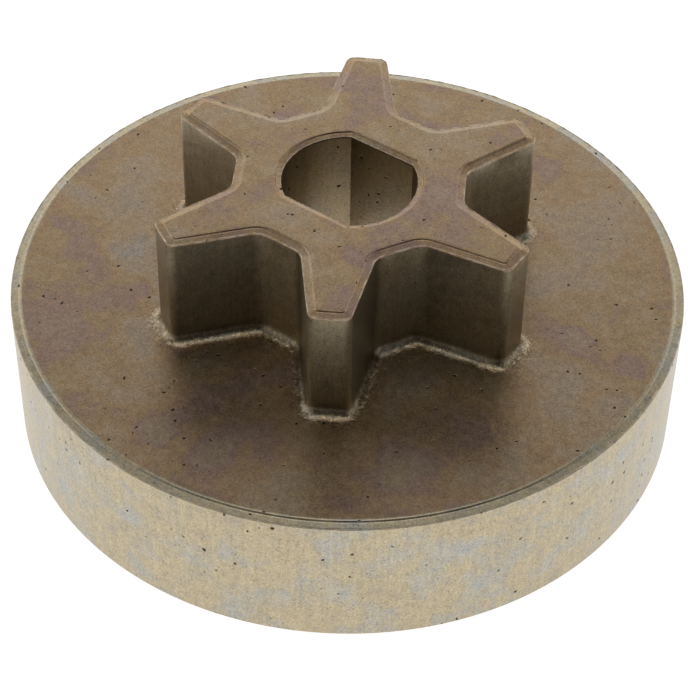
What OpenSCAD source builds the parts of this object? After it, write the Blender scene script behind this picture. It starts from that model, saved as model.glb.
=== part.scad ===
// Drive sprocket of a small electric chainsaw, pressed and sintered in steel as one piece.
// A brake drum, open below, carries a six-tooth chain star on its closed end.
// A bore with two flats runs through both and takes the gearbox shaft.
// The origin is the centre of the drum's open end, and +Z runs up the shaft's axis.

/* [Brake drum] */
// Outside diameter of the drum, where the brake band closes
drum_d = 51; // [46:0.5:58]
// Height of the drum, from its open end to the flat that carries the star
drum_h = 11.8; // [10:0.1:15]
// Thickness of the drum's round wall
drum_wall = 3; // [2.2:0.1:4]
// Thickness of the closed end
web_t = 4; // [3:0.1:6]
// Radius inside the cup, where the wall meets the closed end
cup_round = 1.5; // [0.8:0.1:2]
// Bevel on both edges of the open end
mouth_bevel = 0.4; // [0.2:0.05:0.8]
// Width of the shallow bevel around the drum's upper edge
rim_bevel_w = 0.7; // [0.4:0.05:1.2]
// Drop of that bevel
rim_bevel_drop = 0.18; // [0.1:0.02:0.4]

/* [Chain star] */
// Number of teeth
teeth = 6; // [5:1:7]
// Diameter over the tooth tips
tip_d = 29.6; // [27:0.1:33]
// Distance across two opposite root flats, between the teeth
root_af = 17; // [15.6:0.1:18.4]
// Height of the star above the drum's flat
star_h = 9.6; // [7:0.1:13]
// Width of a tooth at its tip
tip_w = 3; // [2.4:0.1:3.8]
// Slant of a tooth's flank against the middle line of the tooth, in degrees
flank_slant = 10.5; // [6:0.5:13]
// Radius of the upright edges at the tooth tips
tip_round = 0.7; // [0.5:0.05:1]
// Radius of the hollow corners where the flanks run into the root flats
root_round = 1.4; // [1.3:0.05:1.8]
// Radius of the fillet at the foot of the star
foot_round = 0.75; // [0.4:0.05:0.9]
// Width of the shallow bevel around the star's top
star_bevel_w = 0.6; // [0.3:0.05:0.8]
// Drop of that bevel
star_bevel_drop = 0.18; // [0.1:0.02:0.4]

/* [Shaft bore] */
// Diameter of the bore's two round sides
bore_d = 10; // [9:0.1:11]
// Distance across the bore's two flats
bore_af = 8.3; // [7.4:0.1:8.8]
// Width of the shallow bevel around the bore's two mouths
bore_bevel_w = 0.45; // [0.2:0.05:0.8]
// Drop of that bevel
bore_bevel_drop = 0.18; // [0.1:0.02:0.4]

/* [Hidden] */
$fn = 180;
steel = [0.53, 0.48, 0.42];
// Straight pieces that an arc of an outline is made of
arc_steps = 4;
// Narrow ledge that the bevels leave at the top of each upright wall
ledge = 0.08;
// Smallest radius at a corner of the star's top
tip_keen = 0.25;
// How far one volume runs into the next, so that they join
sunk = 1;

drum_r = drum_d / 2;
cup_r = drum_r - drum_wall;
cup_h = drum_h - web_t;
star_top = drum_h + star_h;
tip_r = tip_d / 2;
half_pitch = 180 / teeth;
// A flank is kept as the direction of its normal and its distance from the axis
flank_dir = 90 - flank_slant;
flank_off = tip_r * cos(flank_dir) + tip_w / 2 * sin(flank_dir);

// Points of an arc around c, between two directions
function arc(c, r, from, to) =
    [for (i = [0 : arc_steps]) c + r * [cos(from + (to - from) * i / arc_steps),
                                        sin(from + (to - from) * i / arc_steps)]];

// Where two lines meet, each given by the direction of its normal and its distance from the axis
function meet(dir1, off1, dir2, off2) =
    [off1 * sin(dir2) - off2 * sin(dir1), off2 * cos(dir1) - off1 * cos(dir2)] / sin(dir2 - dir1);

function turned(p, a) = [p[0] * cos(a) - p[1] * sin(a), p[0] * sin(a) + p[1] * cos(a)];

// Upper half of the tooth that points along +X, from its tip to the root flat,
// with its outline drawn in by the length inset, or let out where inset is negative
function half_tooth(inset) =
    let (rt = max(tip_round - inset, tip_keen),
         rr = root_round + inset,
         tip_c = meet(0, tip_r - inset - rt, flank_dir, flank_off - inset - rt),
         root_c = meet(flank_dir, flank_off - inset + rr, half_pitch, root_af / 2 - inset + rr))
    concat(arc(tip_c, rt, 0, flank_dir), arc(root_c, rr, flank_dir + 180, half_pitch + 180));

// The whole star, tooth by tooth, counterclockwise
function star_outline(inset) =
    let (upper = half_tooth(inset), last = len(upper) - 1)
    [for (k = [0 : teeth - 1])
        each [for (i = [-last : last + 1])
            turned(i > 0 ? upper[i - 1] : [upper[-i][0], -upper[-i][1]], k * 2 * half_pitch)]];

// The star as one closed skin over a stack of its outlines, from the foot fillet,
// a hollow quarter round that starts inside the drum's flat, to the bevelled top
module star() {
    step = 90 / arc_steps;
    ledge_z = star_top - star_bevel_drop;
    // The fillet's first piece runs on in a straight line, down through the flat
    run_on = foot_round * sin(step);
    levels = concat(
        [[-foot_round - run_on, drum_h - foot_round * (1 - cos(step))]],
        [for (i = [1 : arc_steps])
            [-foot_round * (1 - sin(i * step)), drum_h + foot_round * (1 - cos(i * step))]],
        [[0, ledge_z], [ledge, ledge_z], [star_bevel_w, star_top]]);
    rings = [for (level = levels) star_outline(level[0])];
    n = len(rings[0]);
    top = len(levels) - 1;
    // The last two points are the middles of the lowest and the highest outline
    points = concat(
        [for (k = [0 : top]) for (p = rings[k]) [p[0], p[1], levels[k][1]]],
        [[0, 0, levels[0][1]], [0, 0, star_top]]);
    low_mid = len(points) - 2;
    ends = [for (i = [0 : n - 1]) each
        [[low_mid, i, (i + 1) % n],
         [low_mid + 1, top * n + (i + 1) % n, top * n + i]]];
    sides = [for (k = [0 : top - 1]) for (i = [0 : n - 1])
        [k * n + i, (k + 1) * n + i, (k + 1) * n + (i + 1) % n, k * n + (i + 1) % n]];
    color(steel)
        polyhedron(points, concat(ends, sides));
}

// The drum's section, from the axis out under the closed end and back over its top
module drum() {
    color(steel)
        rotate_extrude()
            polygon(concat(
                [[0, cup_h]],
                arc([cup_r - cup_round, cup_h - cup_round], cup_round, 90, 0),
                [[cup_r, mouth_bevel],
                 [cup_r + mouth_bevel, 0],
                 [drum_r - mouth_bevel, 0],
                 [drum_r, mouth_bevel],
                 [drum_r, drum_h - rim_bevel_drop],
                 [drum_r - ledge, drum_h - rim_bevel_drop],
                 [drum_r - rim_bevel_w, drum_h],
                 [0, drum_h]]));
}

// The bore's section
module bore_section() {
    intersection() {
        circle(d = bore_d);
        square([bore_d + 2 * sunk, bore_af], center = true);
    }
}

// Widening of the bore at one mouth, upwards from z = 0 and on past the face
module bore_mouth() {
    slope = bore_bevel_w / bore_bevel_drop;
    reach = bore_bevel_drop + sunk;
    intersection() {
        cylinder(r1 = bore_d / 2, r2 = bore_d / 2 + slope * reach, h = reach);
        rotate([90, 0, 90])
            linear_extrude(height = 4 * bore_d, center = true)
                polygon([[-bore_af / 2, 0],
                         [bore_af / 2, 0],
                         [bore_af / 2 + slope * reach, reach],
                         [-bore_af / 2 - slope * reach, reach]]);
    }
}

// All that the shaft's way takes out of the solid; each flat faces a gap between two teeth
module bore() {
    translate([0, 0, cup_h - sunk])
        linear_extrude(height = web_t + star_h + 2 * sunk)
            bore_section();
    translate([0, 0, star_top - bore_bevel_drop])
        bore_mouth();
    translate([0, 0, cup_h + bore_bevel_drop])
        mirror([0, 0, 1])
            bore_mouth();
}

module drive_sprocket() {
    difference() {
        union() {
            drum();
            star();
        }
        color(steel)
            bore();
    }
}

drive_sprocket();
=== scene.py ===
import math

import bpy
import numpy as np
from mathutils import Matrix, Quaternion, Vector


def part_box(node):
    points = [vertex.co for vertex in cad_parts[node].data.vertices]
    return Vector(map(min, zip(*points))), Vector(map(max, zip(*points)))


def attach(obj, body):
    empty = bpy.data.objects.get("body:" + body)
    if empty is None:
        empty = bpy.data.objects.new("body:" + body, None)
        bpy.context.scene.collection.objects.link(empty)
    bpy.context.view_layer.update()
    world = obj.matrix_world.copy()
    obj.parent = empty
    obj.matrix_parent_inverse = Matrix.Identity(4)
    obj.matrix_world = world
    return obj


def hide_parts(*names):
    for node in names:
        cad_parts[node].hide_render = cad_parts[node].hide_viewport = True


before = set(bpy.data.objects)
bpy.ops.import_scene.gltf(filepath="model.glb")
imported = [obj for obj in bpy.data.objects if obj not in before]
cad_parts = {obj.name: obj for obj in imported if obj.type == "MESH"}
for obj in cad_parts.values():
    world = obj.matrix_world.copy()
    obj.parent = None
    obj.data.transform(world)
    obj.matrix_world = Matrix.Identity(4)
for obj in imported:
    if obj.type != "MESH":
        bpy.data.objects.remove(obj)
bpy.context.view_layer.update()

# The sprocket's skin
# The real part is one piece of iron powder, pressed in a die, sintered and steam-treated.
# Its form follows the solid; the die's edge marks and a fine burr along every upper edge are
# added here. Lengths are in millimetres until the mesh is made.
MM = 0.001
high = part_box("drive_sprocket")[1]
drum_r = min(high.x, high.y) / MM
star_top = high.z / MM
drum_h = 11.8
cup_r = 22.5
cup_h = 7.8
cup_round = 1.5
mouth_bevel = 0.4
rim_band = 0.7
tip_r = 14.8
tip_w = 3.0
root_r = 8.5
flank_slant = math.radians(10.5)
tip_round = 0.7
tip_keen = 0.25
root_round = 1.4
foot_round = 0.75
star_band = 0.62
edge_drop = 0.23
bore_r = 5.0
bore_half = 4.15
bore_band = 0.45
half_pitch = math.pi / 6

# Samples on half a tooth: tip, tip corner, flank, root corner, root flat
share = {"tip": 8, "tip_corner": 10, "flank": 34, "root_corner": 10, "root": 16}
half_count = sum(share.values())
count = 12 * half_count
turn = 2 * math.pi * np.arange(count) / count
rng = np.random.default_rng(41)


def towards(angle):
    """Unit vectors at an angle, or at each of an array of angles."""
    return np.stack([np.cos(angle), np.sin(angle)], axis=-1)


def straight(start, end, steps):
    """Points that divide a line evenly, its end left out."""
    return start + (end - start) * (np.arange(steps) / steps)[:, None]


def bend(centre, radius, first, last, steps):
    """Points that divide an arc evenly, its end left out."""
    return centre + radius * towards(first + (last - first) * np.arange(steps) / steps)


def corner_centre(dir1, off1, dir2, off2):
    """Where two lines meet, each given by its normal's direction and its distance from the axis."""
    return np.linalg.solve(np.stack([towards(dir1), towards(dir2)]), [off1, off2])


def star_ring(inset):
    """The star's outline drawn in by inset: half a tooth is its tip line, a corner arc, the slanted
    flank, a hollow corner arc and half the root line, then mirrored and turned round the axis."""
    normal = math.pi / 2 - flank_slant
    flank_off = tip_r * math.cos(normal) + tip_w / 2 * math.sin(normal)
    tip_c = max(tip_round - inset, tip_keen)
    root_c = root_round + inset
    tip_at = corner_centre(0, tip_r - inset - tip_c, normal, flank_off - inset - tip_c)
    root_at = corner_centre(normal, flank_off - inset + root_c, half_pitch, root_r - inset + root_c)
    half = np.concatenate([
        straight(np.array([tip_r - inset, 0]), tip_at + [tip_c, 0], share["tip"]),
        bend(tip_at, tip_c, 0, normal, share["tip_corner"]),
        straight(tip_at + tip_c * towards(normal), root_at - root_c * towards(normal), share["flank"]),
        bend(root_at, root_c, normal + math.pi, half_pitch + math.pi, share["root_corner"]),
        straight(root_at - root_c * towards(half_pitch), (root_r - inset) * towards(half_pitch), share["root"]),
        [(root_r - inset) * towards(half_pitch)]])
    across = 2 * half_pitch
    mirror = np.array([[math.cos(across), math.sin(across)], [math.sin(across), -math.cos(across)]])
    sector = np.concatenate([half[:-1], half[:0:-1] @ mirror])
    spins = [np.array([[math.cos(a), math.sin(a)], [-math.sin(a), math.cos(a)]])
             for a in across * np.arange(6)]
    return np.concatenate([sector @ spin for spin in spins])


def bore_ring(out):
    """The bore's section let out by out: radius bore_r, cut off flat at bore_half on both sides.
    The samples' angles are stretched so that the section's four corners fall on samples."""
    radius, flat = bore_r + out, bore_half + out
    from_x = np.abs((turn + math.pi / 2) % math.pi - math.pi / 2)
    corner = turn[round(math.asin(bore_half / bore_r) / turn[1])]
    angle = np.interp(from_x, [0, corner, math.pi / 2], [0, math.asin(flat / radius), math.pi / 2])
    reach = np.minimum(radius, flat / np.maximum(np.sin(angle), 1e-9))
    points = reach[:, None] * towards(angle)
    return points * np.sign(towards(turn + 1e-9))


def round_ring(radius):
    """A circle round the axis."""
    return radius * towards(turn)


def wander(shortest, longest, size, floor=0.0):
    """A smooth random line round the axis: a sum of waves whose lengths, in samples, lie between
    shortest and longest, scaled to the standard deviation size and cut off at floor."""
    waves = np.arange(max(1, round(count / longest)), round(count / shortest))
    phase = rng.uniform(0, 2 * math.pi, len(waves))
    line = np.cos(turn[:, None] * waves + phase).sum(axis=1)
    line *= size / line.std()
    return np.maximum(line, floor) if floor is not None else line


def edge_band(outline, band, drop, height, profile):
    """Rings over an upper edge, from the level face out to the wall: each row of the profile is a
    share of the band's width still to go, of its drop and of the burr. The outline wanders a little."""
    inward = (outline(0.2) - outline(0.0)) / 0.2
    width = wander(14, 120, 0.03 * band, None)
    lip = wander(5, 60, 0.02, 0.0)
    rings = []
    for to_go, fallen, lip_share in profile:
        inset = to_go * band
        points = outline(inset) + inward * (width * math.sin(math.pi * min(to_go, 1)))[:, None]
        level = height - fallen * drop + lip_share * lip
        rings.append((points, level))
    return rings


# From the level face to the wall: a steep step, a shallow slope and a thin burr at the wall
edge_profile = [(1.22, 0.0, 0), (1.06, 0.01, 0), (1.0, 0.10, 0), (0.91, 0.50, 0), (0.86, 0.58, 0),
                (0.78, 0.62, 0), (0.55, 0.71, 0), (0.28, 0.83, 0), (0.13, 0.89, 0.2),
                (0.08, 0.86, 1), (0.03, 0.90, 0.8), (0.0, 1.04, 0), (0.0, 1.35, 0)]

rings = []
marks = {"wall": [], "burr": [], "foot": [], "bore": [], "drum": []}


def lay(points, level, **marked):
    """Adds one ring at a height, with its share of each kind of surface."""
    rings.append(np.column_stack([points, np.broadcast_to(level, count)]))
    for kind, values in marks.items():
        values.append(np.broadcast_to(marked.get(kind, 0.0), count))


def lay_band(outline, band, drop, height, outwards=True, **marked):
    """Adds the rings of an upper edge, outwards or inwards, with the burr marked."""
    burr = [0, 0, 0, 0, 0, 0, 0, 0, 0.3, 1, 1, 0.6, 0]
    made = list(zip(edge_band(outline, band, drop, height, edge_profile), burr))
    for (points, level), glint in made if outwards else made[::-1]:
        lay(points, level, burr=glint, **marked)


def lay_bore():
    """The shaft's way, from the mouth under the closed end up to the mouth in the star's top."""
    for out, level in [(0.50, cup_h), (0.45, cup_h), (0.42, cup_h + 0.015), (0.02, cup_h + 0.17)]:
        lay(bore_ring(out), level)
    for level in [cup_h + 0.2, cup_h + 0.26, 12, 16.5, star_top - 0.32, star_top - 0.25]:
        lay(bore_ring(0.0), level, bore=1.0)
    lay_band(bore_ring, bore_band, edge_drop, star_top, outwards=False)


def lay_top():
    """The star's level top, from the bore's mouth to the step along the star's edge."""
    inner, outer = bore_ring(bore_band * 1.3), star_ring(star_band * 1.3)
    for part in [0, 0.2, 0.45, 0.7, 0.9, 1]:
        lay(inner + (outer - inner) * part, star_top)


def lay_star():
    """The star's edge, its upright wall and the hollow fillet at its foot."""
    lay_band(star_ring, star_band, edge_drop, star_top)
    wall = star_ring(0.0)
    inward = (star_ring(0.2) - wall) / 0.2
    for level in [star_top - 0.4, 19.8, 17.6, 15.4, 13.6, drum_h + foot_round + 0.06]:
        lay(wall + inward * wander(20, 200, 0.006, None)[:, None], level, wall=1.0)
    sag = wander(9, 90, 0.02, None)
    for angle in np.linspace(0, math.pi / 2, 8):
        out = foot_round * (1 - math.cos(angle))
        level = drum_h + foot_round * (1 - math.sin(angle)) + sag * math.sin(2 * angle)
        lay(star_ring(-out), level, wall=1 - out / foot_round, foot=math.sin(angle))


def lay_web():
    """The closed end's upper face, from the star's foot to the rim."""
    inner, outer = star_ring(-foot_round * 1.08), round_ring(drum_r - rim_band * 1.3)
    for part in [0, 0.07, 0.18, 0.32, 0.48, 0.64, 0.8, 0.93, 1]:
        lay(inner + (outer - inner) * part, drum_h, foot=0.5 * max(0, 1 - part / 0.1))


def lay_drum():
    """The rim's edge, the round outer wall and the two bevels of the open end."""
    lay_band(lambda inset: round_ring(drum_r - inset), rim_band, edge_drop, drum_h, drum=1.0)
    for level in [11.2, 9.5, 7.5, 5.5, 3.5, 1.6, mouth_bevel + 0.08]:
        lay(round_ring(drum_r), level, drum=1.0)
    for radius, level in [(drum_r, mouth_bevel), (drum_r - 0.03, mouth_bevel - 0.06),
                          (drum_r - mouth_bevel + 0.05, 0.03), (drum_r - mouth_bevel, 0.0)]:
        lay(round_ring(radius), level, drum=0.5)


def lay_cup():
    """The open end's foot, the inside of the cup and the closed end's underside."""
    for radius, level in [(drum_r - mouth_bevel - 0.06, 0.0), (cup_r + mouth_bevel + 0.06, 0.0),
                          (cup_r + mouth_bevel, 0.0), (cup_r, mouth_bevel), (cup_r, mouth_bevel + 0.06),
                          (cup_r, 3.2), (cup_r, cup_h - cup_round - 0.06)]:
        lay(round_ring(radius), level)
    for angle in np.linspace(0, math.pi / 2, 6):
        lay(round_ring(cup_r - cup_round * (1 - math.cos(angle))),
            cup_h - cup_round * (1 - math.sin(angle)))
    inner, outer = bore_ring(0.55), round_ring(cup_r - cup_round - 0.1)
    for part in [1, 0.7, 0.35, 0]:
        lay(inner + (outer - inner) * part, cup_h)


def closed_mesh(name):
    """One closed skin: the rings are joined to their neighbours, and the last one to the first."""
    grid = np.stack(rings) * MM
    ring_count = len(rings)
    index = np.arange(ring_count * count).reshape(ring_count, count)
    above, beside = np.roll(index, -1, axis=0), np.roll(index, -1, axis=1)
    faces = np.stack([index, above, np.roll(beside, -1, axis=0), beside], axis=-1).reshape(-1, 4)
    mesh = bpy.data.meshes.new(name)
    mesh.from_pydata(grid.reshape(-1, 3), [], faces)
    for kind, values in marks.items():
        attribute = mesh.attributes.new(kind, "FLOAT", "POINT")
        attribute.data.foreach_set("value", np.stack(values).astype(np.float32).ravel())
    mesh.shade_smooth()
    piece = bpy.data.objects.new(name, mesh)
    bpy.context.scene.collection.objects.link(piece)
    return piece


lay_bore()
lay_top()
lay_star()
lay_web()
lay_drum()
lay_cup()
sprocket = closed_mesh("sintered_sprocket")


def fill_ramp(elements, stops):
    """Gives a new colour ramp its stops, lowest first, each one a place and a colour."""
    elements[1].position = stops[-1][0]
    elements[0].position = stops[0][0]
    for at, _ in stops[1:-1]:
        elements.new(at)
    for element, (_, colour) in zip(elements, stops):
        element.color = (*colour, 1)


class Wire:
    """A socket that other nodes can read. Arithmetic on wires and numbers adds Math nodes."""

    def __init__(self, tree, socket):
        self.tree, self.socket = tree, socket

    def node(self, kind, settings=None, inputs=None, output=0):
        """Adds a node: its settings first, then the value or the wire of each input, by place."""
        made = self.tree.nodes.new(kind)
        for name, value in (settings or {}).items():
            if name == "stops":
                fill_ramp(made.color_ramp.elements, value)
            else:
                setattr(made, name, value)
        for place, value in (inputs or {}).items():
            if isinstance(value, Wire):
                self.tree.links.new(value.socket, made.inputs[place])
            else:
                made.inputs[place].default_value = value
        return Wire(self.tree, made.outputs[output])

    def maths(self, operation, *others):
        """One Math node on this wire and the others."""
        return self.node("ShaderNodeMath", {"operation": operation}, dict(enumerate((self, *others))))

    def __add__(self, other):
        return self.maths("ADD", other)

    def __sub__(self, other):
        return self.maths("SUBTRACT", other)

    def __rsub__(self, other):
        return self.maths("MULTIPLY_ADD", -1.0, other)

    def __mul__(self, other):
        return self.maths("MULTIPLY", other)

    __radd__ = __add__
    __rmul__ = __mul__

    def rise(self, low, high):
        """0 below low and 1 above high, with a smooth rise between them; low may be the higher one."""
        settings = {"interpolation_type": "SMOOTHSTEP"}
        if low > high:
            return 1 - self.rise(high, low)
        return self.node("ShaderNodeMapRange", settings, {0: self, 1: low, 2: high})

    def scaled(self, factor):
        """A vector times a number."""
        return self.node("ShaderNodeVectorMath", {"operation": "SCALE"}, {0: self, "Scale": factor})

    def stretched(self, factors):
        """A vector times another, axis by axis."""
        return self.node("ShaderNodeVectorMath", {"operation": "MULTIPLY"}, {0: self, 1: factors})

    def distance(self, point):
        """How far a vector's tip is from a point."""
        return self.node("ShaderNodeVectorMath", {"operation": "DISTANCE"}, {0: self, 1: point}, 1)

    def noise(self, size, detail=2.0, roughness=0.5):
        """Cloudy noise from 0 to 1 whose lumps have about this size, read at this place."""
        return self.node("ShaderNodeTexNoise", {}, {"Vector": self, "Scale": 1 / size, "Detail": detail,
                                                    "Roughness": roughness})

    def cells(self, size, output):
        """Distance to the nearest of many scattered points (0), or a random colour for it (1)."""
        return self.node("ShaderNodeTexVoronoi", {}, {"Vector": self, "Scale": 1 / size}, output)

    def towards(self, colour, share):
        """This colour, moved by share towards another one."""
        settings = {"data_type": "RGBA", "clamp_factor": True}
        return self.node("ShaderNodeMix", settings, {0: share, 6: self, 7: colour}, 2)


def tint(strength, green, blue):
    """A metal's colour: how much red light it returns, and its green and blue as shares of that."""
    return (strength, strength * green, strength * blue)


# Temper colours of the level faces, by the thickness of their oxide
temper_stops = [(0.04, tint(0.31, 0.92, 0.78)), (0.22, tint(0.38, 0.92, 0.82)), (0.38, tint(0.37, 0.80, 0.60)),
                (0.52, tint(0.40, 0.76, 0.50)), (0.63, tint(0.39, 0.70, 0.40)), (0.76, tint(0.34, 0.70, 0.55)),
                (0.88, tint(0.37, 0.76, 0.56)), (1.0, tint(0.37, 0.77, 0.52))]
# The same for the upright faces, which the die has burnished
burnish_stops = [(0.12, tint(0.42, 0.98, 0.90)), (0.34, tint(0.45, 0.92, 0.75)), (0.52, tint(0.47, 0.86, 0.61)),
                 (0.68, tint(0.50, 0.84, 0.55)), (0.88, tint(0.43, 0.86, 0.66))]
# Places where the oxide is thicker or thinner: centre on the upper face, radius, change
stains = [((-19.8, -3.7), 3.2, -0.25), ((-14.5, -7.1), 2.6, -0.30), ((-11.5, -10.2), 1.0, 0.25),
          ((-10.7, -14.7), 2.6, -0.22), ((-7.9, -15.2), 1.8, -0.25), ((-5.5, -18.4), 1.6, 0.10),
          ((-1.8, -19.9), 1.5, 0.18), ((3.8, -18.4), 1.7, 0.14), ((6.7, -18.2), 1.7, 0.14),
          ((9.2, -17.7), 1.6, 0.16), ((3.4, -20.9), 1.6, 0.30), ((-1.4, -21.5), 1.4, 0.30),
          ((14.9, 4.3), 1.5, 0.18), ((17.5, 4.2), 1.6, 0.30), ((22.9, 4.2), 1.6, 0.20),
          ((17.1, -2.3), 1.6, 0.14), ((13.8, -13.2), 1.5, 0.22), ((14.5, -14.7), 1.2, 0.32)]
# Mean shift of the warp that frays the stains; their centres are moved by it too
stain_drift = 1.2
# The star's upright walls: a dark olive, partly their own colour and partly painted shade
wall_olive_and_shade = (0.30, 0.25, 0.165, 1)
# The bore: a gold-brown oxide colour, darkened as painted shade for the shadow inside it
bore_gold_and_shade = (0.23, 0.175, 0.10, 1)
burr_glint = (0.60, 0.52, 0.41, 1)


def temper_field(place, mottle):
    """Oxide thickness on the upper face, about 0 to 1: clouds, and the stains with frayed edges."""
    field = 0.62 + 0.9 * (place.noise(9.0, 3) - 0.5) + 0.7 * mottle
    warped = place.node("ShaderNodeTexNoise", {}, {"Vector": place, "Scale": 0.5, "Detail": 3.0}, 1)
    moved = place.node("ShaderNodeVectorMath", {"operation": "MULTIPLY_ADD"},
                       {0: warped, 1: (2 * stain_drift, 2 * stain_drift, 0), 2: place})
    for (x, y), radius, change in stains:
        near = moved.distance((x + stain_drift, y + stain_drift, drum_h)).rise(radius * 1.5, 0.0)
        field = field + change * near
    return field


def sintered_steel():
    """Steam-treated sintered steel: temper colours, a fine grain, open pores and burnished walls, with painted
    shade on the star's walls and in the bore and painted highlights in the fillet at the star's foot and along
    the burr.
    """
    material = bpy.data.materials.new("tempered_steel")
    material.use_nodes = True
    tree = material.node_tree
    surface = tree.nodes["Principled BSDF"]
    start = Wire(tree, None)
    place = start.node("ShaderNodeTexCoord", output=3).scaled(1 / MM)
    on = {kind: start.node("ShaderNodeAttribute", {"attribute_name": kind}, output=2) for kind in marks}
    upright = on["wall"].maths("MAXIMUM", on["drum"].maths("MAXIMUM", on["bore"]))

    mottle = place.noise(2.6, 4, 0.6) - 0.5
    small = place.noise(0.7, 3, 0.6) - 0.5
    grain = place.noise(0.15, 2, 0.7) - 0.5
    streak = place.stretched((1, 1, 0.07)).noise(0.35, 3, 0.6) - 0.5

    level = start.node("ShaderNodeValToRGB", {"stops": temper_stops}, {0: temper_field(place, mottle)})
    burnished = start.node("ShaderNodeValToRGB", {"stops": burnish_stops},
                           {0: 0.52 + 1.6 * mottle + 0.5 * small + 0.9 * (place.noise(6.0, 2) - 0.5)})
    colour = level.towards(burnished, upright)
    # Partly painted shade: the star's walls are darkened towards the dark olive
    colour = colour.towards(wall_olive_and_shade, 0.85 * on["wall"])
    # Painted shade: the bore is darkened towards the gold-brown
    colour = colour.towards(bore_gold_and_shade, 0.75 * on["bore"])

    # Open pores: scattered points, most of them left out, in loose clusters
    frayed = place.node("ShaderNodeTexNoise", {}, {"Vector": place, "Scale": 3.0, "Detail": 1.0}, 1)
    bent = place.node("ShaderNodeVectorMath", {"operation": "MULTIPLY_ADD"},
                      {0: frayed, 1: (0.35, 0.35, 0.35), 2: place})
    pick = start.node("ShaderNodeSeparateColor", {}, {0: bent.cells(0.8, 1)})
    kept = (pick + 0.9 * (place.noise(3.5, 2) - 0.5)).rise(0.76, 0.84)
    pores = (bent.cells(0.8, 0) - 0.06 * pick).rise(0.14, 0.05) * kept * (1 - 0.8 * on["wall"])
    specks = place.noise(0.2, 2, 0.7).rise(0.62, 0.70)

    granules_and_glints = place.noise(0.3, 3, 0.7).rise(0.46, 0.66)
    shade = 1 + 1.15 * grain + 0.45 * small - 0.40 * specks + 0.35 * streak * upright
    # Painted highlight: the fillet at the star's foot is lightened in bright grains
    shade = shade + on["foot"] * (0.75 * granules_and_glints - 0.15)
    shade = (shade * (1 - 0.88 * pores)).maths("MAXIMUM", 0.05)
    lit = colour.node("ShaderNodeVectorMath", {"operation": "SCALE"}, {0: colour, "Scale": shade})
    lit = lit.towards(burr_glint, on["burr"] * place.noise(0.5, 2).rise(0.38, 0.62) * 0.75)
    tree.links.new(lit.socket, surface.inputs["Base Color"])
    surface.inputs["Metallic"].default_value = 1.0
    rough = 0.36 + 0.12 * small + 0.25 * pores + 0.10 * grain
    tree.links.new(rough.socket, surface.inputs["Roughness"])

    height = grain + small * 0.5 - 2.5 * pores - 0.5 * specks + streak * upright * 0.5 + on["foot"] * granules_and_glints
    bump = start.node("ShaderNodeBump", {}, {"Strength": 1.0, "Distance": 0.008 * MM, "Height": height})
    tree.links.new(bump.socket, surface.inputs["Normal"])
    return material


sprocket.data.materials.append(sintered_steel())

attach(sprocket, "root")
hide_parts("drive_sprocket")

# The floor
# A wide white studio floor. It glows a little, as paper on a light table does.
floor_mesh = bpy.data.meshes.new("floor")
floor_mesh.from_pydata([(-2, -2, 0), (2, -2, 0), (2, 2, 0), (-2, 2, 0)], [], [(0, 1, 2, 3)])
floor = bpy.data.objects.new("floor", floor_mesh)
bpy.context.scene.collection.objects.link(floor)
white = bpy.data.materials.new("white_floor")
white.use_nodes = True
paper = white.node_tree.nodes["Principled BSDF"]
paper.inputs["Base Color"].default_value = (0.3, 0.3, 0.3, 1)
paper.inputs["Roughness"].default_value = 0.9
paper.inputs["Specular IOR Level"].default_value = 0.0
paper.inputs["Emission Color"].default_value = (1, 1, 1, 1)
paper.inputs["Emission Strength"].default_value = 0.95
floor.data.materials.append(white)

# The light
# A white room whose far side is bright up to about 45 degrees and whose near side is dark,
# with a soft light overhead.
camera_azimuth = math.radians(34.79)
bright_side = camera_azimuth + math.radians(10)
world = bpy.data.worlds.new("studio")
world.use_nodes = True
sky = world.node_tree
toward = Wire(sky, None).node("ShaderNodeTexCoord")
flat = toward.node("ShaderNodeVectorMath", {"operation": "NORMALIZE"}, {0: toward.stretched((1, 1, 0))})
side = flat.node("ShaderNodeVectorMath", {"operation": "DOT_PRODUCT"},
                 {0: flat, 1: (-math.sin(bright_side), math.cos(bright_side), 0)}, 1)
rise = toward.node("ShaderNodeVectorMath", {"operation": "DOT_PRODUCT"}, {0: toward, 1: (0, 0, 1)}, 1)
room = 1.2 * (0.5 + 0.5 * side) * rise.rise(math.sin(math.radians(54)), math.sin(math.radians(32)))
overhead = 1.2 * rise.rise(math.sin(math.radians(57)), math.sin(math.radians(75)))
sky.links.new((room + overhead).socket, sky.nodes["Background"].inputs["Color"])
bpy.context.scene.world = world

# The camera
# It stands where the photograph's own camera fits the drum's and the star's edges.
camera_at = Vector((72.42, -104.24, 128.30)) * MM
aimed_at = Vector((4.857, -6.547, 11.8)) * MM
camera_roll = math.radians(1.07)
lens = bpy.data.cameras.new("camera")
lens.sensor_width = 36.0
lens.lens = 116.44
lens.clip_start = 0.01
camera = bpy.data.objects.new("camera", lens)
camera.location = camera_at
camera.rotation_mode = "QUATERNION"
camera.rotation_quaternion = ((aimed_at - camera_at).to_track_quat("-Z", "Y")
                              @ Quaternion((0, 0, 1), camera_roll))
bpy.context.scene.collection.objects.link(camera)
bpy.context.scene.camera = camera
bpy.context.scene.view_settings.view_transform = "Standard"
